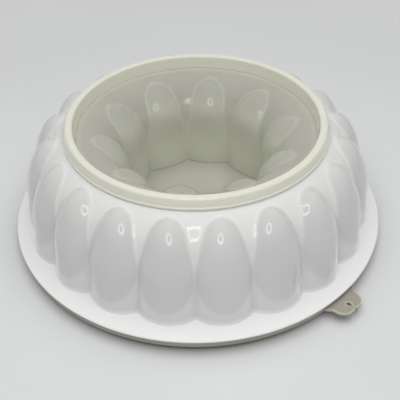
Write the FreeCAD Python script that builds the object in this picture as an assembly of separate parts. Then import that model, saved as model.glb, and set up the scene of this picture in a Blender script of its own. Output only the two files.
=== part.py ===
import FreeCAD, Part
import math
import os
from FreeCAD import Matrix, Vector

# Ring mould set in three mouldings, standing on its wide seal with the narrow end up.
# Millimetres, +Z up, origin on the axis of the rings at the level the seal stands on.

# Ring body: bulging lobes round the outside
lobe_count = 20
lobe_first_angle = 9.0
lobe_axis_radius = 97.0
lobe_radius = 24.0
lobe_draft = 0.095
lobe_straight_height = 27.7
lobe_top_rise = 3.6

# Ring body: round crown, neck and wall
body_wall = 1.6
crown_round = 34.2
crown_overhang = 11.8
crown_side_height = 34.3
crown_foot_draft = 0.03
neck_setback = 11.2
neck_rise = 3.9

# Ring body: dished flange and the wall under it
flange_width = 9.0
flange_thickness = 2.0
flange_edge_round = 0.8
flange_rise = 2.3
grip_wall_setback = 6.5
grip_wall_thickness = 1.6

# Centre core: cup that widens like a trumpet
core_wall = 1.4
cup_floor_gap = 4.4
cup_throat_radius = 52.0
cup_draft = 1.2
cup_flare_height = 28.0

# Centre core: lobes bulging into the cup
flute_count = 10
flute_first_angle = 9.8
flute_bulge = 4.9
flute_lean = -0.162
flute_flatness = 0.756
flute_radius = 40.5
flute_draft = 0.268
flute_straight_height = 29.0
flute_top_drop = 2.1

# Centre core: rim that hooks over the neck
rim_depth = 9.3
rim_web = 1.8
rim_edge_round = 0.8
rim_inner_flare = 1.2
skirt_wall = 1.0
skirt_flare = 2.5
skirt_lip_height = 1.6
skirt_lip_depth = 0.5
pull_tab_angle = 60.0
pull_tab_round = 7.0
pull_tab_length = 4.6
pull_tab_thickness = 1.3

# Base seal: channel, panel and stepped lip
seal_wall = 1.4
seal_height = 9.7
seal_panel_height = 7.0
seal_foot_round = 1.0
seal_draft = 1.4
seal_step_drop = 1.0
seal_lip_setback = 0.8
seal_lip_depth = 3.5
seal_corner_round = 0.5

# Base seal: pull tab with its hole and slit
tab_angle = -45.0
tab_root_width = 29.0
tab_width = 22.6
tab_length = 13.0
tab_corner_share = 0.6
tab_thickness = 1.4
tab_border_width = 1.2
tab_border_height = 0.6
tab_hole_setting = 7.2
tab_hole_length = 3.6
tab_hole_width = 2.6
tab_collar_width = 1.0
tab_slit_width = 0.7

# Running gaps between mouldings that fit into each other
side_gap = 0.3
seat_gap = 0.3


def crown_height(radius, inset=0.0):
    """Height of the round crown, or of a surface inset from it, at a radius."""
    reach = radius - crown_axis_radius
    return crown_widest_height + math.sqrt((crown_round - inset) ** 2 - reach ** 2)


# Sizes that follow from the ones above, from the table upwards and from the lobes inwards and outwards
lip_foot = seal_height - seal_lip_depth
flange_edge_height = seal_height + seat_gap + flange_thickness
foot_height = flange_edge_height + flange_rise
underside = foot_height - flange_thickness
crown_widest_height = foot_height + crown_side_height
crown_widest_radius = lobe_axis_radius + crown_overhang
crown_axis_radius = crown_widest_radius - crown_round
neck_radius = lobe_axis_radius - neck_setback
neck_top_height = crown_height(neck_radius) + neck_rise
lobe_top_height = crown_height(lobe_axis_radius) + lobe_top_rise
lobe_dome_height = lobe_top_height - foot_height - lobe_straight_height
flange_start = lobe_axis_radius + lobe_radius
flange_radius = flange_start + flange_width
grip_wall_radius = flange_radius - grip_wall_setback
grip_wall_foot = seal_wall + seat_gap
seal_lip_radius = flange_radius - seal_lip_setback
seal_foot_radius = grip_wall_radius + side_gap + seal_wall
seal_step_radius = seal_foot_radius + seal_draft
seal_step_height = lip_foot - seal_step_drop
tab_reach = seal_lip_radius + tab_length
tab_corner_round = tab_corner_share * tab_length
tab_hole_radius = seal_lip_radius + tab_hole_setting
channel_top = neck_top_height + seat_gap
rim_top = channel_top + rim_web
skirt_top_radius = neck_radius + side_gap + skirt_wall
skirt_lip_radius = skirt_top_radius + skirt_flare
rim_inner_radius = neck_radius - body_wall - side_gap - core_wall
cup_mouth_radius = rim_inner_radius - rim_inner_flare
cup_mouth_height = rim_top - rim_depth
cup_throat_height = cup_mouth_height - cup_flare_height
cup_floor_height = seal_panel_height + seal_wall + cup_floor_gap + core_wall
cup_floor_radius = cup_throat_radius - cup_draft
flute_axis_radius = cup_floor_radius - flute_bulge + flute_flatness * flute_radius
flute_dome_height = cup_mouth_height - flute_top_drop - cup_floor_height - flute_straight_height
clear_height = 2 * rim_top


def rounded(corners):
    """Closed wire in the XZ plane; each corner is (radius, height) or (radius, height, rounding)."""
    points = [Vector(corner[0], 0, corner[1]) for corner in corners]
    spans = []
    arcs = []
    for index, here in enumerate(points):
        rounding = corners[index][2] if len(corners[index]) > 2 else 0.0
        back = (points[index - 1] - here).normalize()
        ahead = (points[(index + 1) % len(points)] - here).normalize()
        half = back.getAngle(ahead) / 2
        reach = rounding / math.tan(half)
        enters = here + back * reach
        leaves = here + ahead * reach
        spans.append((enters, leaves))
        bisector = (back + ahead).normalize()
        middle = here + bisector * (rounding / math.sin(half) - rounding)
        arcs.append(Part.Arc(enters, middle, leaves).toShape() if rounding else None)
    edges = []
    for index, arc in enumerate(arcs):
        if arc:
            edges.append(arc)
        edges.append(Part.makeLine(spans[index][1], spans[(index + 1) % len(spans)][0]))
    return Part.Wire(edges)


def turned(wire, start=-180.0, end=180.0):
    """Solid that a closed section sweeps about the axis of the rings, in degrees."""
    face = Part.Face(wire).rotated(Vector(0, 0, 0), Vector(0, 0, 1), start)
    return face.revolve(Vector(0, 0, 0), Vector(0, 0, 1), end - start)


def bullet(radius, draft, straight, dome, foot, below, start=-180.0, end=180.0):
    """Round-nosed peg on the Z axis: a drafted shank whose radius then shrinks as an ellipse does."""
    nose = []
    for share in (0.0, 0.25, 0.5, 0.7, 0.85, 0.95, 0.99, 1.0):
        height = straight + share * dome
        shrink = math.sqrt(1 - share ** 2)
        nose.append(Vector((radius - draft * height) * shrink, 0, foot + height))
    curve = Part.BSplineCurve()
    curve.interpolate(Points=nose, InitialTangent=Vector(-draft, 0, 1), FinalTangent=Vector(-1, 0, 0))
    heel = Vector(radius + draft * below, 0, foot - below)
    centre = Vector(0, 0, foot - below)
    wire = Part.Wire([
        Part.makeLine(centre, heel),
        Part.makeLine(heel, nose[0]),
        curve.toShape(),
        Part.makeLine(nose[-1], centre)])
    return turned(wire, start, end)


def upright_plane(face):
    """True on the two flat cuts of a sector."""
    return isinstance(face.Surface, Part.Plane) and abs(face.Surface.Axis.z) < 0.001


def pattern(sector, count, first_angle):
    """Closed ring of equal sectors: the first is centred on +X, and their outside faces are sewn."""
    half = 180.0 / count
    wedge = turned(rounded([
        (0.0, -clear_height), (clear_height, -clear_height),
        (clear_height, clear_height), (0.0, clear_height)]), -half, half)
    skin = [face for face in sector.common(wedge).Faces if not upright_plane(face)]
    faces = []
    for index in range(count):
        angle = first_angle + 2 * half * index
        faces += [face.rotated(Vector(0, 0, 0), Vector(0, 0, 1), angle) for face in skin]
    shell = Part.makeShell(faces)
    shell.sewShape()
    return Part.makeSolid(shell).removeSplitter()


# Ring body

def lobe(inset, below):
    """One outside lobe centred on +X, or the same lobe inset by the wall."""
    peg = bullet(
        lobe_radius - inset, lobe_draft, lobe_straight_height, lobe_dome_height - inset,
        foot_height, below)
    peg.translate(Vector(lobe_axis_radius, 0, 0))
    return peg


def crown(inset, bottom, top):
    """Sector of the ring body without its lobe: drafted foot, round crown and upright neck."""
    neck = neck_radius - inset
    radius = crown_round - inset
    widest = Vector(crown_widest_radius - inset, 0, crown_widest_height)
    foot = Vector(widest.x + crown_foot_draft * (widest.z - bottom), 0, bottom)
    shoulder = Vector(neck, 0, crown_height(neck, inset))
    half = math.asin((shoulder.z - widest.z) / radius) / 2
    middle = Vector(
        crown_axis_radius + radius * math.cos(half), 0, crown_widest_height + radius * math.sin(half))
    stops = [shoulder, Vector(neck, 0, top), Vector(0, 0, top), Vector(0, 0, bottom), foot, widest]
    edges = [Part.makeLine(a, b) for a, b in zip(stops, stops[1:])]
    wire = Part.Wire(edges + [Part.Arc(widest, middle, shoulder).toShape()])
    return turned(wire, -360.0 / lobe_count, 360.0 / lobe_count)


def flange():
    """Sector of the dished flange with its rounded edge and the upright wall under it."""
    grip_inner = grip_wall_radius - grip_wall_thickness
    edge_foot = flange_edge_height - flange_thickness
    wire = rounded([
        (crown_axis_radius, underside), (grip_inner, underside),
        (grip_inner, grip_wall_foot), (grip_wall_radius, grip_wall_foot),
        (grip_wall_radius, underside - flange_rise / 3, flange_edge_round),
        (flange_radius, edge_foot, flange_edge_round),
        (flange_radius, flange_edge_height, flange_edge_round),
        (flange_start, foot_height), (crown_axis_radius, foot_height)])
    return turned(wire, -360.0 / lobe_count, 360.0 / lobe_count)


def ring_mould():
    """White ring body, open at both ends."""
    form = crown(0.0, underside, neck_top_height)
    form = form.multiFuse([lobe(0.0, flange_thickness), flange()])
    space = crown(body_wall, 0.0, clear_height).fuse(lobe(body_wall, foot_height))
    return pattern(form.cut(space), lobe_count, lobe_first_angle)


# Centre core

def flute(inset, below):
    """Inward lobe of the cup on +X: half a flattened peg that leans and runs straight out behind its axis."""
    front = bullet(
        flute_radius - inset / flute_flatness, flute_draft, flute_straight_height,
        flute_dome_height - inset, cup_floor_height, below, 90.0, 270.0)
    backs = [face.extrude(Vector(cup_mouth_radius, 0, 0)) for face in front.Faces if upright_plane(face)]
    peg = front.multiFuse(backs).removeSplitter()
    place = Matrix()
    place.A11 = flute_flatness
    place.A13 = flute_lean
    place.A14 = flute_axis_radius - flute_lean * cup_floor_height
    return peg.transformGeometry(place)


def cup(inset, top):
    """Sector of the inside of the cup without its lobe; with an inset, the far side of the wall."""
    rise = cup_mouth_height - cup_throat_height - inset
    flare = cup_mouth_radius - cup_throat_radius - inset
    hub = Vector(cup_mouth_radius, 0, cup_throat_height)
    throat = hub - Vector(flare, 0, 0)
    mouth = hub + Vector(0, 0, rise)
    bend = Part.Ellipse(mouth, throat, hub) if rise > flare else Part.Ellipse(throat, mouth, hub)
    ends = sorted([bend.parameter(throat), bend.parameter(mouth)])
    if ends[1] - ends[0] > math.pi:
        ends = [ends[1], ends[0] + 2 * math.pi]
    floor = cup_floor_height - inset
    slope = rim_inner_flare / (rim_top - cup_mouth_height)
    stops = [
        mouth,
        mouth + Vector(inset, 0, 0),
        Vector(cup_mouth_radius + inset + slope * (top - mouth.z), 0, top),
        Vector(0, 0, top), Vector(0, 0, floor), Vector(cup_floor_radius + inset, 0, floor), throat]
    edges = [Part.makeLine(a, b) for a, b in zip(stops, stops[1:]) if a.distanceToPoint(b) > 0.001]
    wire = Part.Wire(edges + [bend.toShape(ends[0], ends[1])])
    return turned(wire, -360.0 / flute_count, 360.0 / flute_count)


def rim():
    """Sector of the web over the neck and the flared skirt, which ends in a small lip above the crown."""
    lip_inner = skirt_lip_radius - skirt_lip_depth
    skirt_inner = lip_inner - skirt_wall
    foot = crown_height(skirt_lip_radius) + seat_gap
    wire = rounded([
        (rim_inner_radius, channel_top), (neck_radius + side_gap, channel_top, seat_gap),
        (skirt_inner, crown_height(skirt_inner) + seat_gap),
        (lip_inner, crown_height(lip_inner) + seat_gap), (skirt_lip_radius, foot),
        (skirt_lip_radius, foot + skirt_lip_height),
        (lip_inner, foot + skirt_lip_height + skirt_lip_depth),
        (skirt_top_radius, rim_top, rim_edge_round), (rim_inner_radius, rim_top)])
    return turned(wire, -360.0 / flute_count, 360.0 / flute_count)


def pull_tab():
    """Short round tongue on the skirt lip."""
    root = skirt_lip_radius - skirt_lip_depth
    centre = Vector(skirt_lip_radius + pull_tab_length - pull_tab_round, 0, crown_height(root) + seat_gap)
    tongue = Part.makeCylinder(pull_tab_round, pull_tab_thickness, centre)
    inside = Part.makeCylinder(root, clear_height)
    return tongue.cut(inside).rotated(Vector(0, 0, 0), Vector(0, 0, 1), pull_tab_angle)


def centre_core():
    """Milky cup with lobes bulging inward and a rim that hooks over the neck."""
    below = 2 * core_wall
    wall = cup(core_wall, rim_top).fuse(rim()).cut(flute(core_wall, below))
    wall = wall.cut(cup(0.0, clear_height).cut(flute(0.0, below)))
    return pattern(wall, flute_count, flute_first_angle).fuse(pull_tab())


# Base seal

def seal_pan():
    """Panel, channel that takes the wall under the flange, and stepped lip."""
    groove_inner = grip_wall_radius - grip_wall_thickness - side_gap
    panel_top = seal_panel_height + seal_wall
    step_inner = seal_step_radius - seal_wall
    lip_inner = seal_lip_radius - seal_wall
    shelf = lip_foot + seal_wall
    return turned(rounded([
        (0.0, seal_panel_height), (groove_inner - seal_wall, seal_panel_height, seal_corner_round),
        (groove_inner - seal_wall, 0.0, seal_foot_round), (seal_foot_radius, 0.0, seal_foot_round),
        (seal_step_radius, seal_step_height), (seal_lip_radius, lip_foot, seal_corner_round),
        (seal_lip_radius, seal_height), (lip_inner, seal_height), (lip_inner, shelf),
        (step_inner, shelf - seal_corner_round), (seal_foot_radius - seal_wall, seal_wall),
        (groove_inner, seal_wall), (groove_inner, panel_top, seal_corner_round), (0.0, panel_top)]))


def slab(wire, foot, thickness):
    """Plate over a closed outline that lies in the XY plane."""
    return Part.Face(wire).translated(Vector(0, 0, foot)).extrude(Vector(0, 0, thickness))


def tab_outline(inset):
    """Outline of the seal's tab on +X, wide at the root and round at the outer corners."""
    half_root = tab_root_width / 2 - inset
    half = tab_width / 2 - inset
    reach = tab_reach - inset
    rounding = tab_corner_round - inset
    root = seal_lip_radius - seal_wall
    flank = seal_lip_radius + (tab_reach - seal_lip_radius) / 4
    turn = math.sqrt(0.5)
    right = [
        Vector(root, half_root, 0),
        Vector(flank, half, 0),
        Vector(reach - rounding, half, 0),
        Vector(reach - rounding * (1 - turn), half - rounding * (1 - turn), 0),
        Vector(reach, half - rounding, 0)]
    left = [Vector(point.x, -point.y, 0) for point in right]
    return Part.Wire([
        Part.makeLine(left[0], right[0]),
        Part.makeLine(right[0], right[1]),
        Part.makeLine(right[1], right[2]),
        Part.Arc(right[2], right[3], right[4]).toShape(),
        Part.makeLine(right[4], left[4]),
        Part.Arc(left[4], left[3], left[2]).toShape(),
        Part.makeLine(left[2], left[1]),
        Part.makeLine(left[1], left[0])])


def oval(growth):
    """Outline of the oval hole in the tab, or of the collar round it."""
    length = tab_hole_length / 2 + growth
    width = tab_hole_width / 2 + growth
    centre = Vector(tab_hole_radius, 0, 0)
    if width > length:
        curve = Part.Ellipse(centre + Vector(0, width, 0), centre + Vector(length, 0, 0), centre)
    else:
        curve = Part.Ellipse(centre + Vector(length, 0, 0), centre + Vector(0, width, 0), centre)
    return Part.Wire([curve.toShape()])


def seal_tab():
    """Pull tab with a raised border, and an oval hole whose slit runs out to a notch in the end."""
    height = tab_thickness + tab_border_height
    plate = slab(tab_outline(0.0), lip_foot, tab_thickness)
    border = slab(tab_outline(0.0), lip_foot, height)
    border = border.cut(slab(tab_outline(tab_border_width), lip_foot, height))
    collar = slab(oval(tab_collar_width), lip_foot, height)
    slit = Part.makeBox(
        tab_reach, tab_slit_width, clear_height, Vector(tab_hole_radius, -tab_slit_width / 2, 0))
    tip = Vector(tab_reach - 2 * tab_slit_width, 0, 0)
    mouth = Vector(tab_reach + tab_slit_width, 3 * tab_slit_width, 0)
    notch = Part.makePolygon([tip, mouth, Vector(mouth.x, -mouth.y, 0), tip])
    inside = Part.makeCylinder(seal_lip_radius - seal_wall / 2, clear_height)
    tab = plate.multiFuse([border, collar])
    tab = tab.cut([slab(oval(0.0), 0.0, clear_height), slit, slab(notch, 0.0, clear_height), inside])
    return tab.removeSplitter().rotated(Vector(0, 0, 0), Vector(0, 0, 1), tab_angle)


def base_seal():
    """Round translucent seal on which the whole set stands."""
    return seal_pan().fuse(seal_tab()).removeSplitter()


os.makedirs("parts", exist_ok=True)
base_seal().exportStep("parts/base_seal.step")
ring_mould().exportStep("parts/ring_mould.step")
centre_core().exportStep("parts/centre_core.step")
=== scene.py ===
"""Looks of a ring jelly mould set: white fluted ring, milky centre cup and translucent base seal.

The set stands upside down on its seal. Every piece is one closed surface, worked out with numpy from the
formulas of the solid that it stands for, with small fillets where two forms meet. Only the heads of the lobes
in the cup are a little rounder than in the solid.
"""

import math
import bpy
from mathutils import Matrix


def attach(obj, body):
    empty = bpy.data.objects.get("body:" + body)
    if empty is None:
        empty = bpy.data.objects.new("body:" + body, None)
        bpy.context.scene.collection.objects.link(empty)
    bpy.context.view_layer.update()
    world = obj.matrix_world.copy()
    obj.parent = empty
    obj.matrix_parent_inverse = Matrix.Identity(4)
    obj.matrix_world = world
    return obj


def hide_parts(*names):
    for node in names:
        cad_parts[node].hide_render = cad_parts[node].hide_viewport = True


bl_info = {
    "name": "Ring Jelly Mould",
    "version": (1, 0, 0),
    "blender": (4, 5, 0),
    "location": "View3D > Sidebar > Mould",
    "description": "Builds the dressed pieces and the stage of a ring jelly mould set",
    "category": "Add Mesh",
}

import bpy
import numpy as np
from bpy.props import FloatProperty, FloatVectorProperty, IntProperty, PointerProperty
from bpy.types import Operator, Panel, PropertyGroup
from mathutils import Matrix, Vector

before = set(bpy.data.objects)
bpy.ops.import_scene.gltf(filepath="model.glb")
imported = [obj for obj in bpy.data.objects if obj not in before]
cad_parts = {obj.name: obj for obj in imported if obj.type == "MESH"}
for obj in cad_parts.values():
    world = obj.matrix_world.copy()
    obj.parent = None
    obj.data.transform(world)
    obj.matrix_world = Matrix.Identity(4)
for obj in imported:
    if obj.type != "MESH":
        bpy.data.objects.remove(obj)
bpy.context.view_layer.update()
MM = 0.001

# Faces that meet at more than this angle show an edge
EDGE_ANGLE = math.radians(38)

# Columns to a lobe and rows from end to end of the visible skin and of the skin behind it
LOBE_COLUMNS, BODY_ROWS, BODY_BACK_ROWS = 36, 64, 30
FLUTE_COLUMNS, CUP_ROWS, CUP_BACK_ROWS, CUP_FLOOR_ROWS = 56, 74, 34, 6
SEAL_COLUMNS, TAB_COLUMNS, TONGUE_COLUMNS = 720, 90, 60
FLOOR_CORNERS = 96
OUTLINE_STEPS = 400

# Heights between which one painted tone of light or shade turns into the next; only the cup's rim turns into
# a cream of its own
FLANGE_TO_LOBE = (14.1 * MM, 18.5 * MM)
FLOOR_TO_CUP = (14.3 * MM, 15.0 * MM)
LOW_TO_HIGH_CUP = (20.0 * MM, 66.0 * MM)
WALL_TO_MOUTH = (48.0 * MM, 69.0 * MM)
LOBE_TO_MOUTH = (58.0 * MM, 76.0 * MM)
MOUTH_TO_RIM = (77.2 * MM, 78.4 * MM)
SEAL_SHADE_HEIGHTS = (-1.0 * MM, 8.0 * MM)

# Distances from the middle between which the camera sees the floor grow lighter
NEAR_TO_FAR_FLOOR = (250.0 * MM, 1800.0 * MM)

# Full range of the fine relief on glossy pieces and on the seal
RIPPLE, GRAIN = 0.025 * MM, 0.01 * MM


def length(name, description, default):
    """Size in metres, given here in millimetres."""
    return FloatProperty(name=name, description=description, default=default * MM, unit="LENGTH", precision=5)


def number(name, description, default):
    """Plain number, such as a ratio, a slope or a lamp's power."""
    return FloatProperty(name=name, description=description, default=default, precision=3)


def angle(name, description, default):
    """Angle, given here in degrees."""
    return FloatProperty(name=name, description=description, default=math.radians(default), unit="ROTATION")


def colour(name, description, default):
    """Colour in linear light."""
    return FloatVectorProperty(
        name=name, description=description, default=default, subtype="COLOR", min=0.0, max=1.0)


class MouldBodySizes(PropertyGroup):
    flange_radius: length("Flange radius", "Outer edge of the dished flange", 130.0)
    flange_thickness: length("Flange thickness", "Thickness of the flange", 2.0)
    flange_edge: length("Flange edge round", "Rounding of the flange's edge", 0.8)
    flange_edge_height: length("Flange edge height", "Top of the flange at its edge", 12.0)
    flange_rise: length("Flange rise", "How much higher the flange is at the lobes", 2.3)
    grip_radius: length("Under wall radius", "Outside of the wall under the flange", 123.5)
    grip_wall: length("Under wall thickness", "Thickness of the wall under the flange", 1.6)
    grip_foot: length("Under wall foot", "Lower edge of the wall under the flange", 1.7)
    wall: length("Body wall", "Wall of lobes, crown and neck", 1.6)
    lobe_count: IntProperty(name="Lobes", description="Lobes round the outside", default=20, min=3)
    lobe_turn: angle("Lobe turn", "Direction of the first lobe", 9.0)
    lobe_axis: length("Lobe axis", "Distance of a lobe's axis from the middle", 97.0)
    lobe_radius: length("Lobe radius", "Radius of a lobe at its foot", 24.0)
    lobe_draft: number("Lobe draft", "Loss of radius per height", 0.095)
    lobe_straight: length("Lobe shank", "Height of a lobe's straight part", 27.7)
    lobe_dome: length("Lobe dome", "Height of a lobe's round top", 36.04)
    crown_round: length("Crown round", "Radius of the crown's arc", 34.2)
    crown_radius: length("Crown radius", "Widest radius of the crown", 108.8)
    crown_height: length("Crown height", "Height of the widest place", 48.6)
    crown_draft: number("Crown draft", "Slope of the wall below the crown", 0.03)
    neck_radius: length("Neck radius", "Outside of the upright neck", 85.8)
    neck_top: length("Neck top", "Top of the neck", 84.81)
    edge_round: length("Edge round", "Rounding of the edges of neck and under wall", 0.4)
    grip_corner: length("Under wall corner", "Rounding between the under wall and the flange", 0.8)
    groove_fillet: length("Groove fillet", "Softness of the grooves between lobes", 0.7)
    crown_fillet: length("Crown fillet", "Softness where a lobe meets the crown", 2.2)


class MouldCoreSizes(PropertyGroup):
    wall: length("Core wall", "Wall of the cup", 1.4)
    floor: length("Floor height", "Upper face of the cup's floor", 14.2)
    floor_radius: length("Floor radius", "Cup radius at the floor, between lobes", 50.8)
    throat_radius: length("Throat radius", "Cup radius where it starts to widen", 52.0)
    throat_height: length("Throat height", "Where the cup starts to widen", 49.61)
    mouth_radius: length("Mouth radius", "Radius of the kink under the rim", 81.3)
    mouth_height: length("Mouth height", "Height of the kink under the rim", 77.61)
    flute_count: IntProperty(name="Inner lobes", description="Lobes bulging into the cup", default=10, min=3)
    flute_turn: angle("Inner lobe turn", "Direction of the first inner lobe", 9.8)
    flute_axis: length("Inner lobe axis", "Distance of the lobe's axis at the floor", 76.52)
    flute_lean: number("Inner lobe lean", "Outward shift of the axis per height", -0.162)
    flute_flatness: number("Inner lobe flatness", "Radial size over width", 0.756)
    flute_radius: length("Inner lobe half width", "Half width of the lobe's section at the floor", 40.5)
    flute_draft: number("Inner lobe draft", "Loss of half width per height", 0.276)
    flute_straight: length("Inner lobe shank", "Height of the straight part", 31.5)
    flute_dome: length("Inner lobe dome", "Height of the round top", 29.81)
    head_width: length("Inner lobe head half width", "Half width of the section at the head", 21.0)
    head_depth: length("Inner lobe head depth", "Radial size of the section at the head", 19.0)
    head_axis: length("Inner lobe head axis", "Distance of the head's axis", 65.2)
    head_from: length("Inner lobe head foot", "Height where the section starts to change", 35.0)
    head_full: length("Inner lobe head full", "Height where the section has changed", 60.0)
    fillet: length("Crease fillet", "Softness of the creases in the cup", 0.7)
    rim_top: length("Rim top", "Top of the rim", 86.91)
    rim_web: length("Rim web", "Thickness over the neck", 1.8)
    rim_round: length("Rim round", "Rounding of the rim's edges", 1.3)
    rim_flare: length("Rim flare", "How far the rim's inside leans out", 1.2)
    skirt_top: length("Skirt top radius", "Outside of the skirt at its top", 87.1)
    skirt_lip: length("Skirt lip radius", "Outside of the skirt's lower lip", 89.6)
    skirt_wall: length("Skirt wall", "Thickness of the skirt", 1.0)
    skirt_foot: length("Skirt foot", "Lower edge of the skirt", 79.63)
    skirt_lip_height: length("Lip height", "Height of the lower lip", 1.6)
    skirt_lip_depth: length("Lip depth", "How far the lip stands out", 0.5)
    edge_round: length("Edge round", "Rounding of the skirt's and the channel's edges", 0.3)
    tab_turn: angle("Small tab direction", "Direction of the rim's small tab", 60.0)
    tab_round: length("Small tab round", "Radius of the tab's outline", 7.0)
    tab_reach: length("Small tab reach", "Farthest radius of the tab", 94.2)
    tab_foot: length("Small tab foot", "Underside of the tab", 79.87)
    tab_thickness: length("Small tab thickness", "Thickness of the tab", 1.3)


class MouldSealSizes(PropertyGroup):
    wall: length("Seal wall", "Wall of the seal", 1.4)
    panel: length("Panel height", "Underside of the panel", 7.0)
    groove_inner: length("Groove inner radius", "Inner face of the groove", 121.6)
    foot_radius: length("Foot radius", "Outside of the channel at the table", 125.2)
    foot_round: length("Foot round", "Rounding of the channel's lower edges", 1.0)
    step_radius: length("Step radius", "Outside of the channel under the lip", 126.6)
    step_height: length("Step height", "Height where the channel steps out", 5.2)
    lip_radius: length("Lip radius", "Outside of the upper lip", 129.2)
    lip_foot: length("Lip foot", "Lower edge of the upper lip", 6.2)
    lip_top: length("Lip top", "Upper edge of the upper lip", 9.7)
    corner_round: length("Corner round", "Rounding of the panel's and the lip's corners", 0.5)
    edge_round: length("Edge round", "Rounding of the small steps and edges", 0.3)
    tab_turn: angle("Tab direction", "Direction of the pull tab", -45.0)
    tab_root: length("Tab root width", "Width of the tab where it leaves the lip", 29.0)
    tab_width: length("Tab width", "Width of the tab", 22.6)
    tab_reach: length("Tab reach", "Farthest radius of the tab", 142.2)
    tab_round: length("Tab corner round", "Rounding of the outer corners", 7.8)
    tab_thickness: length("Tab thickness", "Thickness of the tab's plate", 1.4)
    tab_border: length("Tab border", "Width of the raised border", 1.2)
    tab_border_height: length("Tab border height", "Height of the raised border", 0.6)
    tab_collar: length("Tab collar", "Width of the raised collar round the hole", 1.0)
    hole_radius: length("Hole place", "Distance of the hole from the middle", 136.4)
    hole_length: length("Hole length", "Size of the hole along the radius", 3.6)
    hole_width: length("Hole width", "Size of the hole across the radius", 2.6)
    slit: length("Slit width", "Width of the slit", 0.7)


class MouldColours(PropertyGroup):
    # The lobe, shoulder and flange whites are one plastic in lit and shaded copies: painted shade on the
    # lobes, painted light on the shoulder and on the flange
    white: colour("White", "Glossy plastic of the ring body's lobes", (0.68, 0.685, 0.68))
    shoulder: colour("Shoulder white", "Between the lobes' tops and at their feet", (0.825, 0.83, 0.825))
    # Painted shade in the grooves between the lobes
    groove: colour("Groove", "Tint of the grooves between the lobes", (0.6, 0.56, 0.52))
    flange: colour("Flange white", "Bright flange of the ring body", (0.97, 0.975, 0.975))
    # The milky and milky lobe colours are one plastic in lit and shaded copies: painted shade on the cup's
    # floor and near its mouth, painted light lower in the cup for light that comes through the plastic
    milky: colour("Milky", "Cup near its mouth and on its floor", (0.415, 0.415, 0.355))
    lobe: colour("Milky lobe", "Walls and lobes lower in the cup", (0.62, 0.63, 0.53))
    bloom: colour("Bloom", "Faint clouds in the cup's plastic", (0.85, 0.85, 0.8))
    cream: colour("Cream", "Rim of the centre cup", (0.81, 0.81, 0.69))
    seal: colour("Seal", "Cloudy plastic of the base seal", (0.35, 0.326, 0.278))
    floor: colour("Floor", "Pale floor", (0.72, 0.73, 0.74))
    far_floor: colour("Far floor", "Light added to the floor far from the set", (0.5, 0.5, 0.49))
    surround: colour("Surround", "Light from all sides", (1.0, 0.985, 0.955))


class MouldStage(PropertyGroup):
    camera_distance: length("Camera distance", "Level distance of the camera from the axis", 408.14)
    camera_height: length("Camera height", "Height of the camera over the table", 351.85)
    camera_side: angle("Camera side", "Turn of the camera round the axis", 1.31)
    camera_pan: angle("Camera pan", "Turn of the view away from the axis", 0.24)
    camera_pitch: angle("Camera pitch", "How far the camera looks down", 39.61)
    camera_roll: angle("Camera roll", "Roll of the camera", -0.99)
    lens: number("Lens", "Focal length on a 36 mm sensor", 65.16)
    key: number("Key lamp", "Power of the ring lamp round the camera", 0.255)
    key_size: length("Key lamp size", "Outer diameter of the ring lamp", 240.0)
    key_hole: number("Key lamp hole", "Hole of the ring lamp over its size", 0.62)
    top: number("Top lamp", "Power of the wide soft lamp above", 14.2)
    top_size: length("Top lamp size", "Side of the wide soft lamp", 1300.0)
    top_height: length("Top lamp height", "Height of the wide soft lamp", 1100.0)
    top_front: length("Top lamp front", "How far the wide soft lamp stands to the front", 100.0)
    top_right: length("Top lamp right", "How far the wide soft lamp stands to the right", 20.0)
    sheen: number("Sheen", "Share of the top lamp that shows in reflections", 0.3)
    aim_height: length("Aim height", "Height at which the lamps point", 50.0)
    world: number("Surround", "Strength of the light from all sides", 0.24)
    backdrop: number("Backdrop", "Strength of the surround as the camera sees it", 0.72)
    mirrored: number("Mirrored surround", "Strength of the surround in reflections", 0.5)
    floor_radius: length("Floor radius", "Radius of the floor", 3010.0)
    floor_drop: length("Floor drop", "How far the floor lies under the set", 0.3)


# Meshes

def new_object(name, points, quads, body, triangles=None, marks=None):
    """Object from point rows, four-corner faces and fan triangles, with its faces turned outwards.

    All faces are turned over if their volume, the sum of the triple products of their corners, is negative.
    """
    triangles = np.zeros((0, 3), int) if triangles is None else triangles
    halves = np.concatenate([quads[:, [0, 1, 2]], quads[:, [0, 2, 3]], triangles])
    a, b, c = points[halves[:, 0]], points[halves[:, 1]], points[halves[:, 2]]
    if np.einsum("ij,ij->", a, np.cross(b, c)) < 0:
        quads, triangles = quads[:, ::-1], triangles[:, ::-1]
    mesh = bpy.data.meshes.new(name)
    corners = np.concatenate([quads.ravel(), triangles.ravel()])
    starts = np.concatenate([np.arange(len(quads)) * 4, 4 * len(quads) + np.arange(len(triangles)) * 3])
    mesh.vertices.add(len(points))
    mesh.vertices.foreach_set("co", points.astype(np.float32).ravel())
    mesh.loops.add(len(corners))
    mesh.loops.foreach_set("vertex_index", corners.astype(np.int32))
    mesh.polygons.add(len(starts))
    mesh.polygons.foreach_set("loop_start", starts.astype(np.int32))
    mesh.update(calc_edges=True)
    mesh.validate()
    mesh.polygons.foreach_set("use_smooth", np.ones(len(mesh.polygons), bool))
    mesh.set_sharp_from_angle(angle=EDGE_ANGLE)
    for key, values in (marks or {}).items():
        mesh.attributes.new(key, "FLOAT", "POINT").data.foreach_set("value", values.astype(np.float32))
    obj = bpy.data.objects.new(name, mesh)
    bpy.context.scene.collection.objects.link(obj)
    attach(obj, body)
    return obj


def grid_faces(rows, columns, close_rows):
    """Corner numbers of the cells of a grid whose columns close, and whose rows may close too."""
    row = np.arange(rows if close_rows else rows - 1)[:, None]
    column = np.arange(columns)[None, :]
    below, beside = (row + 1) % rows, (column + 1) % columns
    near, far = row * columns, below * columns
    corners = [near + column, near + beside, far + beside, far + column]
    return np.stack(np.broadcast_arrays(*corners), -1).reshape(-1, 4)


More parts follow.
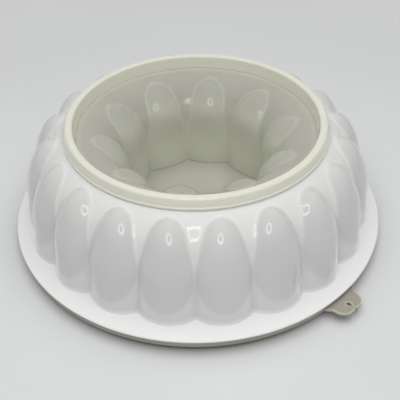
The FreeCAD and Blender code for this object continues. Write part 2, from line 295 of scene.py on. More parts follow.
def around(radius, height, directions):
    """Points of a form given by its radius and height for each direction about the axis."""
    radius, height = np.broadcast_arrays(radius, height)
    return np.stack([radius * np.cos(directions), radius * np.sin(directions), height], -1).reshape(-1, 3)


def all_round(values, columns):
    """One value to a row, the same in every column."""
    return np.broadcast_to(values[:, None], (len(values), columns))


def on_rows(values, first, shape):
    """Point values of a grid: those given, from a first row on, and zero on the other rows."""
    whole = np.zeros(shape)
    whole[first:first + len(values)] = values
    return whole.ravel()


def capped(radius, height, directions, first_pole, last_pole):
    """Points, four-corner faces and fan triangles of a turned form, closed at two heights on its axis."""
    rows, columns = radius.shape
    points = np.concatenate([around(radius, height, directions), [[0, 0, first_pole], [0, 0, last_pole]]])
    column = np.arange(columns)
    beside = (column + 1) % columns
    last_row = (rows - 1) * columns
    pole = np.full(columns, rows * columns)
    fans = np.concatenate([
        np.stack([pole, beside, column], -1), np.stack([pole + 1, last_row + column, last_row + beside], -1)])
    return points, grid_faces(rows, columns, False), fans


def plate(inner, outer, insets, shares, top, bottom):
    """Points and faces of a flat piece between two edges, closed at its rims and at its two ends.

    Stations on each line from the inner to the outer edge are given by their distances from the ends of the
    line and by shares of what is left between them. Heights above and below are functions of place and of the
    distances to the two edges.
    """
    span = np.hypot(*(outer - inner))
    first, last = np.array(insets)[:, None], span - np.array(insets)[::-1, None]
    between = first[-1] + (last[0] - first[-1]) * np.array(shares)[:, None]
    run = np.concatenate([first + 0 * span, between, last])
    place = inner[:, None] + (outer - inner)[:, None] * run / span
    heights = [side(place, run, span - run) for side in (top, bottom)]
    place = np.concatenate([place, place[:, ::-1]], 1)
    height = np.concatenate([heights[0], heights[1][::-1]])
    rows, columns = height.shape
    skin = grid_faces(rows, columns, True).reshape(rows, columns, 4)[:, :-1].reshape(-1, 4)
    station = np.arange(rows // 2 - 1)
    ends = [np.stack([station, rows - 1 - station, rows - 2 - station, station + 1], -1) * columns + column
            for column in (0, columns - 1)]
    faces = np.concatenate([skin, ends[0][:, ::-1], ends[1]])
    return np.concatenate([place, height[None]]).reshape(3, -1).T, faces


def turned(points, direction):
    """Points turned about the axis of the rings."""
    cosine, sine = math.cos(direction), math.sin(direction)
    return points @ np.array([[cosine, sine, 0], [-sine, cosine, 0], [0, 0, 1]])


def rounded_path(corners, steps=5):
    """Radii and heights along straight runs, where a corner's third number rounds it with an arc.

    An arc's points are sums of its two ends about its centre, weighted by the sines of the two parts into
    which each point divides its angle. A corner that is nearly straight gets no arc.
    """
    nearly_straight = 1.56
    points = np.array([corner[:2] for corner in corners], float)
    made = [points[:1]]
    for before, here, after, corner in zip(points, points[1:], points[2:], corners[1:]):
        rounding = corner[2] if len(corner) > 2 else 0.0
        back, ahead = before - here, after - here
        back, ahead = back / np.hypot(*back), ahead / np.hypot(*ahead)
        half = math.acos(float(np.clip(back @ ahead, -1, 1))) / 2
        if rounding <= 0 or half > nearly_straight:
            made.append(here[None])
            continue
        hub = here + (back + ahead) / np.hypot(*(back + ahead)) * rounding / math.sin(half)
        ends = [here + side * rounding / math.tan(half) - hub for side in (back, ahead)]
        spread = math.pi - 2 * half
        turn = np.linspace(0, spread, steps)[:, None]
        made.append(hub + (ends[0] * np.sin(spread - turn) + ends[1] * np.sin(turn)) / math.sin(spread))
    made.append(points[-1:])
    path = np.concatenate(made)
    return path[:, 0], path[:, 1]


def smooth_min(a, b, width):
    """The lesser of two fields, blended over a width where they are nearly equal.

    It is their mean by shares that change evenly over the width, less the width times both shares.
    """
    share = np.clip(0.5 + 0.5 * (b - a) / width, 0, 1)
    return b * (1 - share) + a * share - width * share * (1 - share)


def surface(start, target, field, reach=1.7, steps=34):
    """Radius and height where a field turns from negative to positive on each ray from start to target.

    The place is found by halving an interval on every ray at once. The reach is the interval's first length,
    over the distance from start to target.
    """
    def along(share):
        return [begin + (end - begin) * share for begin, end in zip(start, target)]

    low = np.zeros(np.broadcast(start[0], target[0], field(*target)).shape)
    high = low + reach
    for _ in range(steps):
        middle = (low + high) / 2
        outside = field(*along(middle)) > 0
        low, high = np.where(outside, low, middle), np.where(outside, middle, high)
    return along(low)


def with_neighbours(one, pitch, width):
    """Field of a ring of lobes: the nearest lobe's, blended over a width with the lesser of the next two."""
    def field(radius, height):
        beside = np.minimum(one(radius, height, pitch), one(radius, height, -pitch))
        return smooth_min(one(radius, height, 0.0), beside, width)
    return field


def ellipsoid(along, across, up, sizes):
    """Near distance from a rounded form: zero where the squares of the shares add up to one.

    It is the root of that sum less one, divided by the root's own slope, and is positive outside.
    """
    tiny = 1e-9
    shares = [along / sizes[0], across / sizes[1], up / sizes[2]]
    whole = np.sqrt(sum(share ** 2 for share in shares))
    slope = np.sqrt(sum((share / size) ** 2 for share, size in zip(shares, sizes)))
    return whole * (whole - 1) / np.maximum(slope, tiny)


def spread_directions(count, samples, first):
    """Directions about the axis, closer together at the grooves between lobes, and their angles from a lobe.

    An even share from -1 to 1 is stretched at the lobe's middle, by a curve that is one at both grooves.
    """
    stretch = 0.3
    share = (np.arange(samples) + 0.5) / samples * 2 - 1
    local = share * (1 + stretch * (1 - share ** 2)) * math.pi / count
    turns = first + np.arange(count)[:, None] * 2 * math.pi / count
    return (turns + local).ravel(), np.tile(local, count)


# Forms of the ring body

def lobe_field(size, local, inset):
    """Field of the outside lobes: an upright peg that shrinks with height and ends in a half ellipsoid.

    The nearest lobe and its two neighbours are blended, so the groove between them has a small fillet.
    """
    foot = size.flange_edge_height + size.flange_rise

    def one(radius, height, turn):
        reach = size.lobe_radius - inset - size.lobe_draft * (height - foot)
        up = np.maximum(height - foot - size.lobe_straight, 0)
        across = radius * np.sin(local - turn)
        along = radius * np.cos(local - turn) - size.lobe_axis
        return ellipsoid(along, across, up, (reach, reach, size.lobe_dome - inset))

    return with_neighbours(one, 2 * math.pi / size.lobe_count, size.groove_fillet)


def crown_field(size, inset):
    """Field of the round crown over a slightly drafted wall."""
    def field(radius, height):
        hub = size.crown_radius - size.crown_round
        up = height - size.crown_height
        arc = np.hypot(radius - hub, np.maximum(up, 0)) - size.crown_round + inset
        wall = radius - size.crown_radius + inset + size.crown_draft * np.minimum(up, 0)
        return np.where(up > 0, arc, wall)
    return field


def crown_top(size, radius, inset):
    """Height of the crown's arc at a radius."""
    reach = radius - size.crown_radius + size.crown_round
    return size.crown_height + math.sqrt((size.crown_round - inset) ** 2 - reach ** 2)


def body_side(size, local, inset, foot, neck, count):
    """Outside of lobes and crown from the flange to the neck, or the same surface inset by the wall.

    Rays fan out in each upright plane from a point inside the foot of a lobe, aimed at evenly spaced places
    on a lobe's own outline, and stop where the blended field of lobes and crown turns positive.
    """
    top = crown_top(size, neck, inset)
    start = (size.lobe_axis, foot)
    base = size.flange_edge_height + size.flange_rise
    turn = np.linspace(0, math.pi / 2, OUTLINE_STEPS)
    up = base + size.lobe_straight + (size.lobe_dome - inset) * np.sin(turn)
    out = (size.lobe_radius - inset - size.lobe_draft * (up - base)) * np.cos(turn)
    outline_r = np.concatenate([[size.lobe_axis + size.lobe_radius - inset], size.lobe_axis + out, [neck]])
    outline_z = np.concatenate([[foot], up, [top]])
    run = np.concatenate([[0], np.cumsum(np.hypot(np.diff(outline_r), np.diff(outline_z)))])
    places = np.linspace(0, run[-1], count)
    target = (np.interp(places, run, outline_r)[:, None], np.interp(places, run, outline_z)[:, None])
    lobes, crown = lobe_field(size, local, inset), crown_field(size, inset)
    return surface(start, target, lambda r, z: smooth_min(lobes(r, z), crown(r, z), size.crown_fillet))


def body_light_marks(size, local, radius, height):
    """Shares of painted light, shade and reflection at each point of the ring's outside.

    The shoulder's painted light is one where the crown is the outer field, and fades over a width into the
    lobes. Off the shoulder, the groove's painted shade is a high power of the way from a lobe's middle to its
    groove, and the foot's painted reflection of the flange is one outside an oval on the lobe's lower half.
    """
    shoulder_blend, shoulder_bias, groove_power = 1.6 * MM, 0.8, 12
    oval_top, oval_depth, oval_width, oval_blend = 45 * MM, 22 * MM, 0.97, 0.16
    beyond = crown_field(size, 0.0)(radius, height) - lobe_field(size, local, 0.0)(radius, height)
    # Painted light on the shoulder
    shoulder = np.clip(shoulder_bias - beyond / shoulder_blend, 0, 1)
    beside = np.broadcast_to(np.abs(local) * size.lobe_count / math.pi, radius.shape)
    # Painted reflection of the flange at the lobes' feet
    oval = np.hypot(beside / oval_width, np.maximum(oval_top - height, 0) / oval_depth)
    foot = np.clip((oval - 1) / oval_blend + 0.5, 0, 1)
    # Painted shade in the grooves
    groove = beside ** groove_power
    return {"groove": groove * (1 - shoulder), "shoulder": shoulder, "foot": foot * (1 - shoulder)}


class MOULD_OT_body(Operator):
    """Build the white ring body: dished flange, lobes, crown and neck"""
    bl_idname = "mould.body"
    bl_label = "Ring Body"

    def execute(self, context):
        size = context.scene.mould_body
        directions, local = spread_directions(size.lobe_count, LOBE_COLUMNS, size.lobe_turn)
        columns = len(directions)
        neck_gap, neck_rise, ledge, lobe_gap = 0.6 * MM, 0.5 * MM, 0.8 * MM, 0.05 * MM
        foot = size.flange_edge_height + size.flange_rise
        under = foot - size.flange_thickness
        neck_inside = size.neck_radius - size.wall
        outside = body_side(size, local, 0.0, foot, size.neck_radius + neck_gap, BODY_ROWS)
        inside = body_side(size, local, size.wall, under, neck_inside, BODY_BACK_ROWS)
        neck = rounded_path([
            (size.neck_radius, crown_top(size, size.neck_radius, 0.0) + neck_rise),
            (size.neck_radius, size.neck_top, size.edge_round), (neck_inside, size.neck_top, size.edge_round),
            (neck_inside, crown_top(size, neck_inside, size.wall) + neck_rise)], steps=4)
        grip_inside = size.grip_radius - size.grip_wall
        edge_foot = size.flange_edge_height - size.flange_thickness
        lobe_reach, midway = size.lobe_axis + size.lobe_radius, 5 / 9
        rim = rounded_path([
            (grip_inside - ledge, under), (grip_inside, under),
            (grip_inside, size.grip_foot, size.edge_round),
            (size.grip_radius, size.grip_foot, size.edge_round),
            (size.grip_radius, under - size.flange_rise / 3, size.grip_corner),
            (size.flange_radius, edge_foot, size.flange_edge),
            (size.flange_radius, size.flange_edge_height, size.flange_edge),
            (lobe_reach + midway * (size.flange_radius - lobe_reach), foot - midway * size.flange_rise),
            (lobe_reach + lobe_gap, foot)], steps=6)
        radius, height = [
            np.concatenate([front, all_round(upper, columns), back[::-1], all_round(lower, columns)])
            for front, upper, back, lower in zip(outside, neck, inside, rim)]
        # Painted light, shade and reflection on the ring's outside, kept with its points
        painted_light_marks = body_light_marks(size, local, *outside)
        marks = {key: on_rows(values, 0, radius.shape) for key, values in painted_light_marks.items()}
        body = new_object(
            "ring_body", around(radius, height, directions), grid_faces(len(radius), columns, True), "body",
            marks=marks)
        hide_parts("ring_mould")
        body.data.materials.append(white_plastic(context.scene.mould_colours))
        return {"FINISHED"}


# Forms of the centre cup

def flute_field(size, local, inset):
    """Field of the inward lobes: the front half of a leaning oval peg, straight outwards behind its axis.

    The peg shrinks with height and ends in a half ellipsoid. Its section changes smoothly from a wide, flat
    oval low down to a rounder one at the head. The nearest lobe and its two neighbours are blended.
    """
    groove_share = 0.6

    def one(radius, height, turn):
        rise = np.clip((height - size.head_from) / (size.head_full - size.head_from), 0, 1)
        share = rise * rise * (3 - 2 * rise)
        low = size.flute_radius - inset / size.flute_flatness - size.flute_draft * (height - size.floor)
        half = low + (size.head_width - inset - low) * share
        depth = size.flute_flatness * low + (size.head_depth - inset - size.flute_flatness * low) * share
        axis = size.flute_axis + size.flute_lean * (height - size.floor)
        axis = axis + (size.head_axis - axis) * share
        up = np.maximum(height - size.floor - size.flute_straight, 0)
        across = radius * np.sin(local - turn)
        along = np.minimum(radius * np.cos(local - turn) - axis, 0)
        return ellipsoid(along, across, up, (depth, half, size.flute_dome - inset))

    return with_neighbours(one, 2 * math.pi / size.flute_count, size.fillet * groove_share)


def trumpet_field(size, inset):
    """Field of the cup's wall: nearly upright below the throat, then a quarter ellipse out to the mouth."""
    flare = size.mouth_radius - size.throat_radius - inset
    rise = size.mouth_height - size.throat_height - inset

    def field(radius, height):
        up = height - size.throat_height
        bend = ellipsoid(radius - size.mouth_radius, 0.0, np.maximum(up, 0), (flare, 1.0, rise))
        slope = (size.throat_radius - size.floor_radius) / (size.throat_height - size.floor)
        wall = size.throat_radius + inset + slope * np.minimum(up, 0) - radius
        return np.where(up > 0, bend, wall)
    return field


def cup_side(size, local, inset, count):
    """Radius and height of the cup's wall, from the floor to the mouth.

    Rays start on the axis, level with their target near the floor and ever higher above it near the mouth, so
    that they meet the wall squarely. They stop where the blended field of wall and lobes reaches zero.
    """
    top_lift, nearly_all = 75 * MM, 0.992
    straight = np.linspace(size.floor - inset, size.throat_height, count // 2, endpoint=False)
    turn = np.linspace(0, math.pi / 2 * nearly_all, count - count // 2)
    flare = size.mouth_radius - size.throat_radius - inset
    rise = size.mouth_height - size.throat_height - inset
    bend_r = size.mouth_radius - flare * np.cos(turn)
    target_r = np.concatenate([np.full(len(straight), size.throat_radius), bend_r])
    target_z = np.concatenate([straight, size.throat_height + rise * np.sin(turn)])
    lift = np.concatenate([np.zeros(len(straight)), top_lift * np.sin(turn) ** 2])
    start = (0.0, (target_z + lift)[:, None])
    flutes, wall = flute_field(size, local, inset), trumpet_field(size, inset)
    return surface(
        start, (target_r[:, None], target_z[:, None]),
        lambda r, z: -smooth_min(flutes(r, z), wall(r, z), size.fillet), reach=1.3)


def cup_light_marks(size, local, radius, height):
    """Shares of a painted highlight and of painted light and shade at each point of the cup's inside.

    The highlight's falls as a bell curve from the line where the fields of lobes and wall are equal. The
    lobe's goes from nothing on the wall to one on the lobes, across the same line, and sets the heights at
    which painted light turns into painted shade.
    """
    crease_width, lobe_blend = 0.6 * MM, 1.2 * MM
    beyond = trumpet_field(size, 0.0)(radius, height) - flute_field(size, local, 0.0)(radius, height)
    return {"crease_highlight": np.exp(-(beyond / crease_width) ** 2), "lobe": np.clip(0.5 + beyond / lobe_blend, 0, 1)}


class MOULD_OT_core(Operator):
    """Build the milky centre cup: floor, inward lobes, flared wall and the rim that hooks over the neck"""
    bl_idname = "mould.core"
    bl_label = "Centre Cup"

    def execute(self, context):
        size = context.scene.mould_core
        directions, local = spread_directions(size.flute_count, FLUTE_COLUMNS, size.flute_turn)
        columns = len(directions)
        inside = cup_side(size, local, 0.0, CUP_ROWS)
        outside = cup_side(size, local, size.wall, CUP_BACK_ROWS)
        root = size.mouth_radius + size.rim_flare
        channel = size.rim_top - size.rim_web
        slope = size.rim_flare / (size.rim_top - size.mouth_height)
        foot, lip, neck_of_lip = size.skirt_foot, size.skirt_lip, size.skirt_lip - size.skirt_lip_depth
        behind, under_mouth = size.mouth_radius + size.wall, size.mouth_height - size.wall
        seam, bevel, kink_round, waist_round, foot_round = 0.12 * MM, 0.24 * MM, 0.1 * MM, 0.8 * MM, 0.2 * MM
        waist_in, waist_up, lip_round, skirt_rise = 0.3 * MM, 0.5 * MM, 0.35 * MM, 0.69 * MM
        rim = rounded_path([
            (size.mouth_radius - seam, size.mouth_height), (size.mouth_radius, size.mouth_height, kink_round),
            (root, size.rim_top, size.rim_round), (size.skirt_top, size.rim_top, size.rim_round),
            (neck_of_lip - waist_in, foot + size.skirt_lip_height + waist_up, waist_round),
            (lip, foot + size.skirt_lip_height, lip_round), (lip, foot, size.edge_round),
            (neck_of_lip, foot + bevel), (neck_of_lip - size.skirt_wall, foot + skirt_rise, foot_round),
            (size.skirt_top - size.skirt_wall, channel, size.edge_round),
            (behind + slope * (channel - under_mouth), channel, size.edge_round),
            (behind, under_mouth, size.edge_round), (size.mouth_radius - seam, under_mouth)])
        floor_share = np.linspace(0, 1, CUP_FLOOR_ROWS + 2)[1:-1, None]
        level = np.ones((CUP_FLOOR_ROWS, columns))
        radius = np.concatenate([
            floor_share * inside[0][:1], inside[0], all_round(rim[0], columns), outside[0][::-1],
            floor_share[::-1] * outside[0][:1]])
        height = np.concatenate([
            level * size.floor, inside[1], all_round(rim[1], columns), outside[1][::-1],
            level * (size.floor - size.wall)])
        # Painted highlight, light and shade on the cup's inside, kept with its points
        painted_light_marks = cup_light_marks(size, local, *inside)
        marks = {
            key: np.append(on_rows(values, CUP_FLOOR_ROWS, radius.shape), [0, 0])
            for key, values in painted_light_marks.items()}
        points, faces, fans = capped(radius, height, directions, size.floor, size.floor - size.wall)
        cup = new_object("centre_cup", points, faces, "core", fans, marks)
        tongue = self.tongue(size)
        finish = milky_plastic(context.scene.mould_colours)
        for piece in (cup, tongue):
            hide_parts("centre_core")
            piece.data.materials.append(finish)
        return {"FINISHED"}

    def tongue(self, size):
        """Short round tongue on the rim's lip: the part of a disc outside the skirt, thinned at its edge."""
        hub = size.tab_reach - size.tab_round
        sunk, thinned, thin_width, clear = 0.3 * MM, 0.3 * MM, 0.4 * MM, 0.02
        root = size.skirt_lip - size.skirt_lip_depth - sunk
        spread = math.acos((root ** 2 - hub ** 2 - size.tab_round ** 2) / (2 * hub * size.tab_round)) - clear
        turn = np.linspace(-spread, spread, TONGUE_COLUMNS)
        outer = np.stack([hub + size.tab_round * np.cos(turn), size.tab_round * np.sin(turn)])
        inner = outer / np.hypot(*outer) * root

        def edge(rest):
            """What each side is thinner by near the edge, by the square of the nearness to it."""
            return thinned * np.clip(1 - rest / thin_width, 0, 1) ** 2

        points, faces = plate(
            inner, outer, insets=(0.0, 0.1 * MM, 0.25 * MM), shares=(0.25, 0.5, 0.75),
            top=lambda place, run, rest: size.tab_foot + size.tab_thickness - edge(rest),
            bottom=lambda place, run, rest: size.tab_foot + edge(rest))
        return new_object("rim_tongue", turned(points, size.tab_turn), faces, "core")


# Forms of the base seal

class MOULD_OT_seal(Operator):
    """Build the cloudy base seal: panel, channel, stepped lip and pull tab"""
    bl_idname = "mould.seal"
    bl_label = "Base Seal"

    def execute(self, context):
        size = context.scene.mould_seal
        directions = np.arange(SEAL_COLUMNS) / SEAL_COLUMNS * 2 * math.pi
        middle, shelf_fall = 0.4 * MM, 0.5 * MM
        channel = size.groove_inner - size.wall
        shelf, panel_top = size.lip_foot + size.wall, size.panel + size.wall
        lip_in, step_in, foot_in = [
            outside - size.wall for outside in (size.lip_radius, size.step_radius, size.foot_radius)]
        edge, corner = size.edge_round, size.corner_round
        pan = rounded_path([
            (middle, size.panel), (channel, size.panel, corner), (channel, 0.0, size.foot_round),
            (size.foot_radius, 0.0, size.foot_round), (size.step_radius, size.step_height, edge),
            (size.lip_radius, size.lip_foot, corner), (size.lip_radius, size.lip_top, edge),
            (lip_in, size.lip_top, edge), (lip_in, shelf, edge), (step_in, shelf - shelf_fall, edge),
            (foot_in, size.wall, edge), (size.groove_inner, size.wall, edge),
            (size.groove_inner, panel_top, corner), (middle, panel_top)])
        radius, height = [all_round(values, SEAL_COLUMNS) for values in pan]
        points, faces, fans = capped(radius, height, directions, size.panel, panel_top)
        seal = new_object("seal_pan", points, faces, "seal", fans)
        tab = self.tab(size)
        finish = seal_plastic(context.scene.mould_colours)
        for piece in (seal, tab):
            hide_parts("base_seal")
            piece.data.materials.append(finish)
        return {"FINISHED"}

    def tab(self, size):
        """Pull tab: lines fan out from an oval hole to the outline, and part along a slit with a notch.

        The plate rises by the border's height near its outline, round the hole and beside the slit.
        """
        half, step = size.tab_width / 2, size.tab_reach - size.lip_radius
        root = size.lip_radius - size.wall / 2
        flank, flank_round = size.lip_radius + step / 4, 3 / 8 * step
        side = rounded_path([
            (size.tab_reach, 0.0), (size.tab_reach, half, size.tab_round), (flank, half, flank_round),
            (root, size.tab_root / 2), (root, 0.0)], steps=14)
        run = np.concatenate([[0], np.cumsum(np.hypot(np.diff(side[0]), np.diff(side[1])))])
        crowding, soft, fine, brim_drop, fade, far = 1.3, 0.3 * MM, 0.25 * MM, 0.25, 1.5 * MM, 1.0
        share = np.linspace(0, 1, TAB_COLUMNS) ** crowding
        half_outline = np.stack([np.interp(share * run[-1], run, values) for values in side])
        outer = np.concatenate([half_outline, (half_outline * [[1], [-1]])[:, -2::-1]], 1)
        turn = np.arctan2(outer[1], outer[0] - size.hole_radius)
        inner = np.stack([
            size.hole_radius + size.hole_length / 2 * np.cos(turn), size.hole_width / 2 * np.sin(turn)])
        lean = np.where(np.arange(outer.shape[1]) < len(share), 1.0, -1.0)
        notch, slit_reach, slit_border = size.tab_reach - 2 * size.slit, 3 * MM, 0.8 * size.tab_collar
        free = np.clip((outer[0] - root) / fade, 0, 1)

        def gap(place):
            """Half the width of the slit, which opens towards the notch, at each place beyond the hole."""
            width = np.maximum(size.slit / 2, place[0] - notch)
            return width * np.clip((place[0] - size.hole_radius) / MM, 0, 1)

        def bead(distance, width):
            """Raised strip along an edge: one as far as its width, with a soft foot and a rounded brim."""
            brim = brim_drop * np.clip(1 - distance / fine, 0, 1) ** 2
            return np.clip((width - distance) / soft + 0.5, 0, 1) - brim

        def top(place, run, rest):
            """Height of the upper face: the plate and the highest of collar, border and slit's strips."""
            beside = np.where(place[0] > size.hole_radius, np.abs(place[1]), far)
            rise = np.maximum(bead(run, size.tab_collar), bead(rest, size.tab_border) * free)
            rise = np.maximum(rise, bead(beside, slit_border))
            return size.lip_foot + size.tab_thickness + size.tab_border_height * rise

        def bottom(place, run, rest):
            """Height of the lower face, which rises at both edges by the square of the nearness to them."""
            return size.lip_foot + soft * np.clip(1 - np.minimum(run, rest) / soft, 0, 1) ** 2

        insets = np.array((0.0, 0.1, 0.25, 0.75, 0.95, 1.15, 1.35)) * MM
        points, faces = plate(inner, outer, insets, shares=(0.2, 0.4, 0.6, 0.8), top=top, bottom=bottom)
        shift = gap(points.T[:2]) * np.clip(1 - np.abs(points[:, 1]) / slit_reach, 0, 1)
        points[:, 1] += shift * np.tile(lean, len(points) // len(lean))
        plain = size.lip_foot + size.tab_thickness
        # Share of the painted highlight on the tab's raised strips
        brim = np.clip((points[:, 2] - plain) / (0.5 * size.tab_border_height), 0, 1)
        points = turned(points, size.tab_turn)
        return new_object("seal_tab", points, faces, "seal", marks={"brim": brim})


# Materials

class Value:
    """A number in a shader; Python's operators on it add Math nodes."""

    def __init__(self, shader, socket):
        self.shader, self.socket = shader, socket

    def math(self, operation, *others):
        """Result of a Math node on this value and up to two others."""
        return self.shader.add("Math", {"operation": operation}, dict(enumerate((self, *others))))

    def __add__(self, other):
        return self.math("ADD", other)

    def __mul__(self, other):
        return self.math("MULTIPLY", other)

    def __sub__(self, other):
        return self.math("SUBTRACT", other)

    def __rsub__(self, other):
        return (self * -1.0) + other

    __radd__, __rmul__ = __add__, __mul__

    def between(self, low, high):
        """Share of the way from low to high, eased at both ends."""
        return self.shader.add(
            "MapRange", {"interpolation_type": "SMOOTHSTEP"}, {0: self, 1: low, 2: high, 3: 0.0, 4: 1.0})


class Shader:
    """A material under construction."""

    def __init__(self, name):
        self.material = bpy.data.materials.new(name)
        self.material.use_nodes = True
        self.tree = self.material.node_tree
        self.surface = self.tree.nodes["Principled BSDF"]

    @classmethod
    def on(cls, tree, surface):
        """The same for the nodes of a lamp or of the world."""
        shader = cls.__new__(cls)
        shader.material, shader.tree, shader.surface = None, tree, surface
        return shader

    def add(self, kind, settings=None, inputs=None, output=0):
        """Output of a new node of a kind, after its settings and its inputs' values or links are made."""
        node = self.tree.nodes.new("ShaderNode" + kind)
        for key, setting in (settings or {}).items():
            setattr(node, key, setting)
        for key, given in (inputs or {}).items():
            self.feed(node.inputs[key], given)
        return Value(self, node.outputs[output])

    def feed(self, socket, given):
        """Link or set one socket."""
        if isinstance(given, Value):
            self.tree.links.new(given.socket, socket)
        elif isinstance(given, (tuple, list)) and len(given) == 3 and socket.type == "RGBA":
            socket.default_value = (*given, 1.0)
        else:
            socket.default_value = given

    def place(self):
        """Object coordinates."""
        return self.add("TexCoord", output="Object")

    def height(self, place):
        """Height over the table."""
        return self.add("SeparateXYZ", {}, {0: place}, "Z")

    def mark(self, name):
        """Number kept with each point of the mesh."""
        return self.add("Attribute", {"attribute_name": name}, {}, "Fac")

    def noise(self, place, scale, detail=3.0, roughness=0.5):
        """Noise from nothing to one."""
        return self.add(
            "TexNoise", {}, {"Vector": place, "Scale": scale, "Detail": detail, "Roughness": roughness})

    def mix(self, share, first, second):
        """Mix of two colours, whose sockets are the Mix node's seventh and eighth."""
        return self.add("Mix", {"data_type": "RGBA"}, {0: share, 6: first, 7: second}, 2)

    def bump(self, height, distance, strength=1.0):
        """Normal from a height pattern, whose full range is a distance in metres."""
        return self.add("Bump", {}, {"Height": height, "Distance": distance, "Strength": strength})

    def finish(self, **inputs):
        """Set the surface's sockets by name, with spaces for underscores, and return the material."""
        for key, given in inputs.items():
            self.feed(self.surface.inputs[key.replace("_", " ")], given)
        return self.material


def tint(rgb, factor):
    """A colour made lighter or darker."""
    return tuple(min(1.0, channel * factor) for channel in rgb)


def white_plastic(colours):
    """Glossy white moulded plastic with faint clouds, a faint flow ripple and slight wear in the gloss.

    Its colour is painted light and shade: painted light on the flange and on the shoulder, painted shade on
    the lobes and more of it in the grooves, and a painted reflection of the flange at the lobes' feet.
    """
    shader = Shader("glossy_white_plastic")
    place = shader.place()
    clouds = shader.noise(place, 22.0, 3.0).between(0.35, 0.7)
    grain = shader.noise(place, 900.0, 2.0)
    white = shader.mix(clouds, tint(colours.white, 0.98), tint(colours.white, 1.02))
    # Painted shade in the grooves between the lobes
    white = shader.mix(shader.mark("groove") * 0.25, white, colours.groove[:])
    # Painted reflection of the flange at the lobes' feet, in the shoulder's lighter white
    white = shader.mix(shader.mark("foot") * 0.6, white, colours.shoulder[:])
    # Painted light on the shoulder between the lobes' tops
    white = shader.mix(shader.mark("shoulder"), white, colours.shoulder[:])
    # Painted light on the flange, above the lobes' painted shade
    flange = shader.mix(clouds, tint(colours.flange, 0.99), colours.flange[:])
    base = shader.mix(shader.height(place).between(*FLANGE_TO_LOBE), flange, white)
    ripple = shader.noise(place, 60.0, 2.0)
    height = ripple * 0.7 + grain * 0.06
    rub = shader.noise(place, 130.0, 4.0, 0.65).between(0.4, 0.75)
    return shader.finish(
        Base_Color=base, Roughness=0.12 + rub * 0.05, IOR=1.5, Coat_Weight=1.0, Coat_Roughness=0.03,
        Normal=shader.bump(height, RIPPLE))


def milky_plastic(colours):
    """Glossy milky plastic, cream on the rim, with painted light low in the cup for light that comes through
    the plastic, and painted shade on its floor and near its mouth.

    The creases beside the lobes get a painted highlight, and light goes a short way into the plastic.
    """
    shader = Shader("milky_plastic")
    place = shader.place()
    up = shader.height(place)
    clouds = shader.noise(place, 30.0, 4.0)
    # Painted light lower in the cup, for light that comes through the plastic
    painted_glow = shader.mix(up.between(*LOW_TO_HIGH_CUP), tint(colours.lobe, 1.08), tint(colours.lobe, 0.92))
    # Painted light turns into painted shade towards the mouth, higher up on the lobes than on the wall
    # between them
    plain = shader.mix(up.between(*WALL_TO_MOUTH), painted_glow, colours.milky[:])
    lobe = shader.mix(up.between(*LOBE_TO_MOUTH), painted_glow, colours.milky[:])
    wall = shader.mix(shader.mark("lobe"), plain, lobe)
    # Painted shade on the cup's floor
    wall = shader.mix(up.between(*FLOOR_TO_CUP), colours.milky[:], wall)
    wall = shader.mix(clouds.between(0.2, 0.8) * 0.05, wall, colours.bloom[:])
    # Painted highlight along the creases beside the lobes
    wall = shader.mix(shader.mark("crease_highlight") * 0.2, wall, colours.cream[:])
    base = shader.mix(up.between(*MOUTH_TO_RIM), wall, colours.cream[:])
    ripple = shader.noise(place, 90.0, 3.0)
    grain = shader.noise(place, 1100.0, 2.0)
    return shader.finish(
        Base_Color=base, Roughness=0.16 + clouds * 0.06, IOR=1.5, Coat_Weight=1.0, Coat_Roughness=0.03,
        Subsurface_Weight=0.25, Subsurface_Radius=(0.006, 0.006, 0.005), Subsurface_Scale=1.0,
        Normal=shader.bump(ripple * 0.6 + grain * 0.12, RIPPLE))


def seal_plastic(colours):
    """Cloudy grey plastic of the seal, with painted shade towards the table and painted highlights on the
    tab's raised strips.
    """
    shader = Shader("seal_plastic")
    place = shader.place()
    clouds = shader.noise(place, 25.0, 3.0)
    base = shader.mix(clouds.between(0.3, 0.7), tint(colours.seal, 0.94), tint(colours.seal, 1.06))
    # Painted shade towards the table
    base = shader.mix(shader.height(place).between(*SEAL_SHADE_HEIGHTS), tint(colours.seal, 0.4), base)
    # Painted highlight on the tab's raised strips
    base = shader.mix(shader.mark("brim") * 0.45, base, colours.cream[:])
    grain = shader.noise(place, 1000.0, 2.0)
    return shader.finish(
        Base_Color=base, Roughness=0.28 + clouds * 0.1, IOR=1.5, Normal=shader.bump(grain, GRAIN))


def floor_finish(colours):
    """Pale matte floor with a faint mottle, which the camera sees a little brighter far from the set."""
    shader = Shader("pale_floor")
    place = shader.place()
    mottle = shader.noise(place, 6.0, 4.0)
    base = shader.mix(mottle.between(0.3, 0.7), tint(colours.floor, 0.985), tint(colours.floor, 1.015))
    away = shader.add("VectorMath", {"operation": "LENGTH"}, {0: place}, "Value")
    seen = shader.add("LightPath", output="Is Camera Ray")
    glow = shader.mix(away.between(*NEAR_TO_FAR_FLOOR) * seen, (0.0, 0.0, 0.0), colours.far_floor[:])
    return shader.finish(Base_Color=base, Roughness=0.6, Emission_Color=glow, Emission_Strength=1.0)


# Stage

def camera_axes(stage):
    """Right, up and forward directions of the camera."""
    pan, pitch, roll = stage.camera_pan - stage.camera_side, stage.camera_pitch, stage.camera_roll
    ahead = Vector((math.sin(pan) * math.cos(pitch), math.cos(pan) * math.cos(pitch), -math.sin(pitch)))
    right = Vector((math.cos(pan), -math.sin(pan), 0.0))
    above = right.cross(ahead)
    cosine, sine = math.cos(roll), math.sin(roll)
    return cosine * right + sine * above, cosine * above - sine * right, ahead


